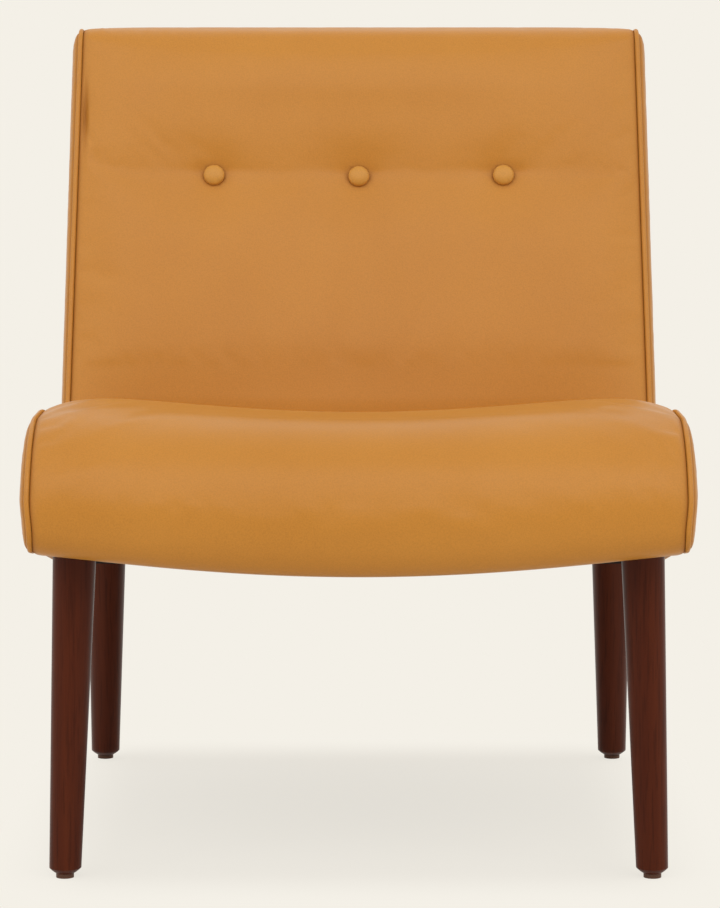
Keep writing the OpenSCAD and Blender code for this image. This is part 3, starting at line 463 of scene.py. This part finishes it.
def leather(name, base, deep):
    """Smooth aniline leather: faintly cloudy dye, fine pebbled grain with pores, a satin finish, and
    darker and duller by the seam mark: painted shade where it turns into a seam, a groove or under an
    edge, with some dirt at the seams."""
    f = Finish(name, 0.37, Specular_IOR_Level=0.24)
    colour = f.ramp(f.noise(6, 4, 0.6), [(0.3, deep), (0.7, base)])
    pores = f.ramp(f.noise(700, 3, 0.6), [(0.35, grey(0.9)), (0.6, grey(1.0))])
    colour = f.mix(1.0, colour, pores, "MULTIPLY")
    seam = f.add("Attribute", output=2, attribute_name="seam")
    # The seam mark draws the colour towards a deep brown: painted shade, with some dirt at the seams
    colour = f.mix(f.math("MULTIPLY", seam, 0.75), colour, srgb(120, 62, 16))
    jitter = f.add("VectorMath", {0: f.noise(90, 2), 1: (0.004, 0.004, 0.004), 2: f.place},
                   operation="MULTIPLY_ADD")
    cells = f.add("TexVoronoi", {"Vector": jitter, "Scale": 620, "Smoothness": 0.35}, feature="SMOOTH_F1")
    height = f.math("SUBTRACT", f.math("MULTIPLY", f.noise(260, 3), 0.8), cells)
    satin = f.math("ADD", f.span(f.noise(30, 3), 0.33, 0.41), f.math("MULTIPLY", seam, 0.4))
    return f.finish(colour, f.bump(height, 0.00012, 0.5), satin)


def stained_wood(name, lean):
    """Dark stained beech under satin lacquer: fine grain along a leg that leans by an angle about X."""
    f = Finish(name, 0.3, Specular_IOR_Level=0.1)
    along = f.stretched((1, 1, 26), (lean, 0, 0))
    colour = f.ramp(f.noise(60, 3, 0.5, along, 0.3), [(0.3, srgb(72, 28, 12)), (0.7, srgb(87, 37, 17))])
    streaks = f.noise(420, 4, 0.6, along, 0.4)
    colour = f.mix(1.0, colour, f.ramp(streaks, [(0.36, grey(0.72)), (0.5, grey(1.0))]), "MULTIPLY")
    return f.finish(colour, f.bump(streaks, 0.00015, 0.3), f.span(streaks, 0.36, 0.26))


def bare_wood(name, light, dark, along):
    """Planed timber or plywood: growth bands and short pores stretched along the board."""
    f = Finish(name, 0.62, Specular_IOR_Level=0.35)
    place = f.stretched(along)
    bands = f.noise(45, 4, 0.6, place, 0.5)
    colour = f.ramp(bands, [(0.35, dark), (0.65, light)])
    pores = f.noise(500, 3, 0.6, place)
    colour = f.mix(1.0, colour, f.ramp(pores, [(0.36, grey(0.8)), (0.5, grey(1.0))]), "MULTIPLY")
    return f.finish(colour, f.bump(pores, 0.0002, 0.4), f.span(bands, 0.55, 0.7))


def plated_steel(name, colour, roughness):
    """Rolled or plated steel with faint drawing marks and a patchy gloss."""
    f = Finish(name, roughness, Metallic=1.0)
    marks = f.noise(900, 3, 0.6)
    darker = tuple(c * 0.86 for c in colour[:3]) + (1,)
    tint = f.mix(1.0, f.ramp(f.noise(60, 3), [(0.3, colour), (0.7, darker)]),
                 f.ramp(marks, [(0.4, grey(0.93)), (0.6, grey(1.0))]), "MULTIPLY")
    return f.finish(tint, f.bump(marks, 0.00005, 0.4), f.span(marks, roughness - 0.06, roughness + 0.08))


def fibres(name, light, dark, scale, depth, stretch=(1, 1, 1)):
    """Felted or bonded fibres: two sizes of noise, a rough face and hardly any gloss."""
    f = Finish(name, 0.95, Specular_IOR_Level=0.03)
    place = f.stretched(stretch)
    fine = f.noise(scale, 5, 0.7, place)
    colour = f.mix(f.noise(scale / 12, 3), f.mix(fine, dark, light), light)
    return f.finish(colour, f.bump(fine, depth, 0.8), f.span(fine, 0.85, 1.0))


def weave(name, light, dark, pitch):
    """Plain weave: two sets of bands at right angles, whose mean is highest where they cross."""
    f = Finish(name, 0.85, Specular_IOR_Level=0.2)
    bands = {"Vector": f.place, "Scale": 0.05 / pitch, "Distortion": 0.3}
    warp, weft = (f.add("TexWave", bands, 1, bands_direction=axis) for axis in "XZ")
    lift = f.math("ADD", f.math("MULTIPLY", warp, 0.5), f.math("MULTIPLY", weft, 0.5))
    colour = f.mix(f.math("MULTIPLY", lift, f.noise(200, 2)), dark, light)
    return f.finish(colour, f.bump(lift, 0.0003, 0.6), f.span(lift, 0.75, 0.95))


def moulded(name, base, deep, roughness):
    """Moulded plastic: a faintly uneven tint and a fine spark-eroded texture."""
    f = Finish(name, roughness, Specular_IOR_Level=0.3)
    fine = f.noise(1500, 2)
    return f.finish(f.ramp(f.noise(40, 3), [(0.35, deep), (0.65, base)]), f.bump(fine, 0.00004, 0.5),
                    f.span(fine, roughness - 0.05, roughness + 0.08))


COGNAC = leather("cognac_leather", srgb(197, 132, 50), srgb(192, 127, 46))

# Each of two sections that meet ends this far from the line they share
JOIN_GAP = 1.5
seat_path = np.concatenate([[FRONT_EDGE], ARCS[HEM], ARCS[ROLL], ARCS[FALL],
                            [CORNERS[CREASE] - unit(CORNERS[CREASE] - CORNERS[FALL]) * JOIN_GAP]])
back_path = np.concatenate([[CORNERS[CREASE] + BACK_DIR * JOIN_GAP], ARCS[LIP], ARCS[CREST]])
outer_path = np.concatenate([[ARCS[CREST][-1] + unit(CORNERS[HEEL] - CORNERS[CREST]) * JOIN_GAP],
                             ARCS[HEEL], [REAR_EDGE]])


def seat_depth(s, u, x):
    """Folded up to the cloth at the hem, thin over the frame's edge under the front, foam behind."""
    full = np.interp(s, [0, .04, .1], [UNDER_FACE - 0.4, UNDER_FACE - 0.4, FOAM_T])
    return np.where(np.abs(x) > FLANGE_X, LEATHER_T, full)


def back_depth(s, u, x):
    """Foam over the face, thinner over the top rail."""
    full = np.interp(s, [0, .86, 1], [FOAM_T, FOAM_T, WADDING_T])
    return np.where(np.abs(x) > FLANGE_X, LEATHER_T, full)


def outer_depth(s, u, x):
    """Wadding, and the leather alone at the hem and the edges."""
    return np.where((np.abs(x) > FLANGE_X) | (s > 0.93), LEATHER_T, WADDING_T)


seat = cushion("seat_cushion", seat_path, 4, columns(161), seat_rise, seat_depth, COGNAC, "leather",
               slack=0.001, cap=2.2, seed=1)
back = cushion("back_cushion", back_path, 4, columns(181), back_rise, back_depth, COGNAC, "leather",
               slack=0.001, cap=2.2, seed=2)
outer = cushion("outer_back_panel", outer_path, 5, columns(141), outer_rise, outer_depth, COGNAC, "leather",
                slack=0.001, cap=1.5, seed=3)
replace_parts(seat, "seat_cover", "seat_foam")
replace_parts(back, "back_cover", "back_foam")
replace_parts(outer, "outer_back_cover", "outer_back_pad")


def side_chains(inset):
    """Two chains of points from the front hem to the crest, along the face and along the underside,
    on the outline moved in by a distance."""
    before, after = np.roll(CORNERS, 1, 0), np.roll(CORNERS, -1, 0)
    n1, n2 = left(unit(CORNERS - before)), left(unit(after - CORNERS))
    det = n1[:, 0] * n2[:, 1] - n1[:, 1] * n2[:, 0]
    loop = CORNERS + inset * np.stack([n1[:, 1] - n2[:, 1], n2[:, 0] - n1[:, 0]], -1) / det[:, None]
    radii = [max(r - inset, 2) if d < 0 else r + inset for r, d in zip(RADII, det)]
    arcs = [corner_arc(loop[i - 1], loop[i], loop[(i + 1) % 8], radii[i]) for i in range(8)]
    half = len(arcs[HEM]) // 2
    face = np.concatenate([arcs[HEM][half:], *arcs[ROLL:CREST], arcs[CREST][:half + 1]])
    under = np.concatenate([arcs[CREST][half:], arcs[HEEL], arcs[BELLY], arcs[HEM][:half + 1]])[::-1]
    return face, under


def edge_distance(points, loop):
    """Distance of plane points from a closed polyline: the least over its segments."""
    a, b = loop, np.roll(loop, -1, 0)
    a, b = a[(a != b).any(1)], b[(a != b).any(1)]
    flat = points.reshape(-1, 2)
    best = np.full(len(flat), 1e9)
    for start, run in zip(a, b - a):
        t = np.clip(((flat - start) @ run) / (run @ run), 0, 1)
        best = np.minimum(best, np.linalg.norm(flat - start - t[:, None] * run, axis=1))
    return best.reshape(points.shape[:-1])


def quarter_round(t):
    """Height of a rounded edge, from 0 to 1, for a share t of its reach: the root of 1 - (1 - t)^2."""
    return np.sqrt(np.maximum(1 - (1 - np.minimum(t, 1)) ** 2, 0))


PANEL_UNDER, PANEL_T, PANEL_SEWN = FRAME_HALF + 0.3, 2.2, 4


def side_panel(name, side, material, slot, seed):
    """A padded side panel: a grid ruled between the face chain and the underside chain, domed over
    the seam by a quarter round of the distance from it, and turned under in the same way along the
    belly, where no piping runs."""
    face, under = (even_count(chain, 261) for chain in side_chains(EDGE_GAP))
    v = (1 + columns(61, 1.9)) / 2
    plane = face[:, None] * (1 - v[:, None]) + under[:, None] * v[:, None]
    seam_gap = edge_distance(plane, np.concatenate([face, under[::-1]]))
    z = plane[..., 1]
    bulge = SIDE_BULGE - RIM_RISE + (z - CORNERS[CREASE, 1]) * BULGE_GAIN
    x = half_at(z) + RIM_RISE + bulge * quarter_round(seam_gap / DOME_REACH)
    belly = np.concatenate([[REAR_EDGE], ARCS[BELLY], [FRONT_EDGE]])
    belly_gap = np.maximum(edge_distance(plane, np.concatenate([belly, belly[::-1]])) - EDGE_GAP, 0)
    x = FRAME_HALF + RIM_RISE + (x - FRAME_HALF - RIM_RISE) * quarter_round(belly_gap / TURN_REACH)
    top = puffed(np.concatenate([x[..., None], plane], -1), seam_gap < PANEL_SEWN, 0.002, 3, seed)
    low = np.concatenate([np.minimum(x - PANEL_T, PANEL_UNDER)[..., None], plane], -1)
    points, faces = slab(top * (side, 1, 1), low * (side, 1, 1))
    # Painted shade along the panel's edge, by the piping and where it turns under
    seam = PANEL_SHADE * np.exp(-seam_gap / SEAM_FADE)
    return make_piece(name, points, faces, material, slot, marks={"seam": np.tile(seam, (2, 1, 1))})


def tube(path, radius, sides=16):
    """Points and faces of a closed round tube along a path of points in space, its ring turned from
    the X axis square to the path."""
    d = unit(np.gradient(path, axis=0))
    a = unit(np.cross([1.0, 0, 0], d))
    b = np.cross(d, a)
    t = 2 * np.pi * np.arange(sides)[:, None] / sides
    return closed_rings(path[:, None] + radius * (a[:, None] * np.cos(t) + b[:, None] * np.sin(t)))


def welt(name, side, material, slot):
    """The piping of a side seam, from the front hem round over the top to the rear hem, sunk a little,
    and more at the front hem."""
    path = even_path(np.concatenate([[FRONT_EDGE], *ARCS[:BELLY], [REAR_EDGE]]), 4)
    sunk = WELT_SUNK + HEM_SUNK * (1 - smooth(np.arange(len(path)) / 16))
    path = path - sunk[:, None] * left(unit(np.gradient(path, axis=0)))
    line = np.concatenate([half_at(path[:, 1:]) * side, path], -1)
    return make_piece(name, *tube(line, WELT_R), material, slot)


for side, word in ((-1, "left"), (1, "right")):
    panel = side_panel("side_panel_" + word, side, COGNAC, "leather", 5 + side)
    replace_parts(panel, "side_cover_" + word, "side_pad_" + word)
    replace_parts(welt("piping_" + word, side, COGNAC, "leather"), "welt_" + word)


def covered_buttons(name, material, slot):
    """Leather-covered buttons, each a flattened dome: over an angle a from the rim the radius is
    cos(a)^0.8 of the full one and the height sin(a)^0.9, with shallow pleats at the rim."""
    a = np.radians(np.linspace(88, 0, 18))
    radius = np.concatenate([BUTTON_R * np.cos(a) ** 0.8, [BUTTON_R, BUTTON_R - 0.7]])
    height = np.concatenate([BUTTON_RIM + (BUTTON_T - BUTTON_RIM) * np.sin(a) ** 0.9, [0.5, 0]]) + BUTTON_LIFT
    t = 2 * np.pi * np.arange(96) / 96
    wave = 1 - np.cos(PLEATS * t + 2 * np.sin(3 * t))
    pleat = 1 - PLEAT_DEPTH * (radius[:, None] / BUTTON_R) ** 4 * wave
    across = radius[:, None] * pleat * np.cos(t)
    up = radius[:, None] * pleat * np.sin(t)
    shells = []
    length = np.linalg.norm(np.diff(back_path, axis=0), axis=1).sum()
    base = CORNERS[CREASE] + BACK_DIR * BUTTON_RISE
    for k in (-1, 0, 1):
        u = np.array(k * BUTTON_GAP / (half_at(base[1]) - EDGE_GAP))
        lift = back_rise(np.array((BUTTON_RISE - JOIN_GAP) / length), u, base)
        plane = base + up[..., None] * BACK_DIR + (height[:, None] + lift)[..., None] * BACK_OUT
        shells.append(closed_rings(np.concatenate([(k * BUTTON_GAP + across)[..., None], plane], -1)))
    count = len(shells[0][0])
    points = np.concatenate([shell[0] for shell in shells])
    faces = [part + k * count for k, shell in enumerate(shells) for part in shell[1]]
    return make_piece(name, points, faces, material, slot)


# The buttons' leather: the cognac leather made a few levels lighter
BUTTON_HIDE = leather("lighter cognac leather", srgb(206, 145, 62), srgb(202, 140, 57))
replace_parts(covered_buttons("leather_buttons", BUTTON_HIDE, "leather"), "tufting_buttons")


def under_z(y):
    """Height of the underside's outline at a distance to the rear, forward and behind the belly."""
    return np.interp(y, CORNERS[[HEM, BELLY, HEEL], 0], CORNERS[[HEM, BELLY, HEEL], 1])


def turned_leg(name, side, rear, material, slot):
    """A tapered leg: straight lines on a cone from the foot's circle to the top's, cut level over the
    glide with a chamfered edge, and cut along the slope of the underside at the top."""
    lean = np.array(LEAN[rear], float) * (side, 1, 1)
    foot = np.array([side * FOOT_X, FOOT_Y if rear else -FOOT_Y, 0])
    axis = unit(lean)
    top_y = foot[1] + lean[1]
    length = (under_z(top_y) + UNDER_FACE) / axis[2]
    t = 2 * np.pi * np.arange(96) / 96
    e1 = unit(np.cross(axis, [0, 1, 0]))
    e2 = np.cross(axis, e1)
    ring = np.cos(t)[:, None] * e1 + np.sin(t)[:, None] * e2
    grow = (TOP_R - FOOT_R) / (length + CONE_HIGH - CONE_LOW)
    line = axis + grow * ring
    start = foot + (FOOT_R - CONE_LOW * grow) * ring
    slope = (under_z(top_y + 1) - under_z(top_y - 1)) / 2
    low = (GLIDE_H + CHAMFER_UP - start[:, 2]) / line[:, 2]
    level = (GLIDE_H - start[:, 2]) / line[:, 2]
    high = ((under_z(top_y) + UNDER_FACE - CUT_GAP + slope * (start[:, 1] - top_y) - start[:, 2])
            / (line[:, 2] - slope * line[:, 1]))
    share = np.linspace(0, 1, 60)[:, None, None]
    body = start + (low[:, None] + (high - low)[:, None] * share) * line
    outer_edge = start + level[:, None] * line
    inner_edge = outer_edge - CHAMFER_IN * unit((outer_edge - outer_edge.mean(0)) * (1, 1, 0))
    share = np.linspace(0, 1, 6)[:-1, None, None]
    chamfer = (inner_edge + (body[0] - inner_edge) * share
               + CHAMFER_ROUND * np.sin(np.pi * share) * ring * (1, 1, 0))
    return make_piece(name, *closed_rings(np.concatenate([chamfer, body])), material, slot, sharp=40)


LEG_WOOD = {rear: stained_wood(name, np.arctan2(-LEAN[rear][1], LEAN[rear][2]))
            for rear, name in ((False, "front_leg_wood"), (True, "rear_leg_wood"))}
for side, word in ((-1, "left"), (1, "right")):
    for rear, end in ((False, "front"), (True, "rear")):
        leg = turned_leg(f"turned_leg_{end}_{word}", side, rear, LEG_WOOD[rear], "leg_wood")
        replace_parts(leg, f"leg_{end}_{word}")


def dust_cloth(name, material, slot):
    """Cloth stapled under the seat: the underside's line carried across, UNDER_FACE up and hanging by
    CLOTH_HANG in the middle, with its edge folded double."""
    path = even_path(np.concatenate([[ARCS[HEM][0] + HEM_DIR * (FRONT_HEM + CLOTH_GAP)], ARCS[BELLY][::-1],
                                     [ARCS[HEEL][-1] + HEEL_DIR * (REAR_HEM + CLOTH_GAP)]]), CLOTH_STEP)
    n = left(unit(np.gradient(path, axis=0)))
    x = np.linspace(-1, 1, 121) * (FRAME_HALF - 1)
    run = np.linspace(0, 1, len(path))[:, None]
    span = CLOTH_STEP * (len(path) - 1)
    edge = np.minimum(FRAME_HALF - 1 - np.abs(x), np.minimum(run, 1 - run) * span)
    hang = CLOTH_HANG * np.sin(np.pi * run) ** 0.7 * (1 - (x / FRAME_HALF) ** 2)
    fold = CLOTH_FOLD_T * (1 - smooth((edge - CLOTH_FOLD_W) / 2))
    low = path[:, None] + n[:, None] * (UNDER_FACE - hang - fold)[..., None]
    top = path[:, None] + n[:, None] * (UNDER_FACE + CLOTH_T - hang)[..., None]
    across = np.broadcast_to(x, hang.shape)[..., None]
    points, faces = slab(np.concatenate([across, top], -1), np.concatenate([across, low], -1))
    piece = make_piece(name, points, faces, material, slot)
    return piece


BLACK_CLOTH = fibres("black_cloth", srgb(30, 28, 28), srgb(17, 16, 16), 900, 0.0002)
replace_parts(dust_cloth("seat_dust_cloth", BLACK_CLOTH, "dust_cloth"), "dust_cover")

ALONG_X, ALONG_Y = (24, 1, 1), (1, 24, 1)
BEECH = srgb(214, 178, 128), srgb(186, 146, 98)
PLYWOOD = bare_wood("plywood", srgb(222, 190, 142), srgb(196, 158, 110), ALONG_Y)
HARDWOOD = bare_wood("hardwood_rail", *BEECH, ALONG_X)
BLOCK = bare_wood("hardwood_block", *BEECH, ALONG_Y)
ZINC = plated_steel("zinc_plated_steel", srgb(196, 198, 202), 0.34)
SPRING = plated_steel("spring_steel", srgb(98, 99, 102), 0.42)
for names, finish in (
        (("side_frame_left", "side_frame_right"), PLYWOOD),
        (("front_rail", "spring_rail", "lower_back_rail", "top_back_rail", "rear_rail"), HARDWOOD),
        (("corner_blocks",), BLOCK),
        (("outer_back_board",), fibres("fibreboard", srgb(158, 126, 88), srgb(120, 92, 62), 700, 0.0002)),
        (("button_backs", "frame_screws", "spring_clips", "leg_hanger_bolts", "leg_t_nuts"), ZINC),
        (("seat_springs",), SPRING),
        (("spring_felt",), fibres("grey_felt", srgb(150, 146, 138), srgb(96, 92, 88), 500, 0.0006)),
        (("back_webbing",), weave("jute_webbing", srgb(150, 122, 84), srgb(92, 70, 44), 0.0016)),
        (("tufting_twines",),
         fibres("waxed_twine", srgb(226, 218, 196), srgb(186, 174, 146), 1200, 0.0002, (1, 1, 4))),
        (("twine_toggles",), moulded("toggle_plastic", srgb(222, 221, 214), srgb(212, 211, 204), 0.5)),
        (("leg_glides",), moulded("glide_plastic", srgb(96, 62, 44), srgb(82, 52, 37), 0.45))):
    for node in names:
        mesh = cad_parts[node].data
        mesh.materials.clear()
        mesh.materials.append(finish)


def studio():
    """Camera, floor, world and lamps."""
    scene = bpy.context.scene
    eye = bpy.data.objects.new("camera", bpy.data.cameras.new("camera"))
    scene.collection.objects.link(eye)
    eye.data.lens, eye.data.sensor_width = 146.6, 36
    eye.location = (0, -3.944, 0.865)
    eye.rotation_euler = (np.radians(90 - 6.83), 0, 0)
    eye.data.shift_x = 0.0014
    scene.camera = eye
    scene.view_settings.view_transform = "Standard"

    backdrop = srgb(244, 240, 231)
    floor_mesh = bpy.data.meshes.new("studio_floor")
    floor_mesh.from_pydata([(-60, -60, 0), (60, -60, 0), (60, 60, 0), (-60, 60, 0)], [], [(0, 1, 2, 3)])
    floor = bpy.data.objects.new("studio_floor", floor_mesh)
    scene.collection.objects.link(floor)
    f = Finish("floor_paper", 0.9)
    floor_mesh.materials.append(f.material)

    def seen(f):
        """One for rays that show the backdrop: from the camera, off a gloss or through glass."""
        kinds = [f.add("LightPath", output=f"Is {kind} Ray") for kind in ("Camera", "Glossy", "Transmission")]
        return f.math("MAXIMUM", f.math("MAXIMUM", kinds[0], kinds[1]), kinds[2])

    # The floor glows like the backdrop, and takes a share of light and shadow only near the chair
    mirrored = f.add("VectorMath", {0: f.place}, operation="ABSOLUTE")
    off = f.add("VectorMath", {0: mirrored, 1: (0.24, 0.27, 0)}, operation="SUBTRACT")
    beyond = f.add("VectorMath", {0: off, 1: (0, 0, 0)}, operation="MAXIMUM")
    away = f.add("VectorMath", {0: beyond}, 1, operation="LENGTH")
    near = f.add("MapRange", {"Value": away, "From Max": 0.14, "To Min": 1, "To Max": 0},
                 interpolation_type="SMOOTHSTEP")
    share = f.span(f.add("LightPath", output="Is Camera Ray"), 0.85, 0.24)
    shown = f.blend(f.math("MULTIPLY", near, share), f.add("Emission", {"Color": backdrop}),
                    f.add("BsdfDiffuse", {"Color": backdrop}))
    f.set(f.nodes["Material Output"],
          {0: f.blend(seen(f), f.add("BsdfDiffuse", {"Color": backdrop}), shown)})

    world = bpy.data.worlds.new("studio")
    scene.world = world
    world.use_nodes = True
    w = Tree(world.node_tree)
    ambient = w.add("Background", {0: grey(1.0), 1: 0.2})
    w.set(w.nodes["World Output"], {0: w.blend(seen(w), ambient, w.add("Background", {0: backdrop}))})

    # Name, degrees round to the right and up from the front, strength, and width in degrees
    for name, azimuth, elevation, strength, spread in (
            ("left_box", -31, 42, 0.34, 38),
            ("front_box", 0, 42, 0.34, 38),
            ("right_box", 31, 42, 0.36, 38),
            ("top_box", 0, 86, 1.3, 125),
            ("left_bank", -74, 14, 0.72, 70),
            ("right_bank", 74, 14, 0.72, 70)):
        lamp = bpy.data.objects.new(name, bpy.data.lights.new(name, "SUN"))
        scene.collection.objects.link(lamp)
        lamp.data.energy, lamp.data.angle = strength, np.radians(spread)
        az, el = np.radians(azimuth), np.radians(elevation)
        towards = Vector((np.sin(az) * np.cos(el), -np.cos(az) * np.cos(el), np.sin(el)))
        lamp.rotation_euler = towards.to_track_quat("Z", "Y").to_euler()


studio()
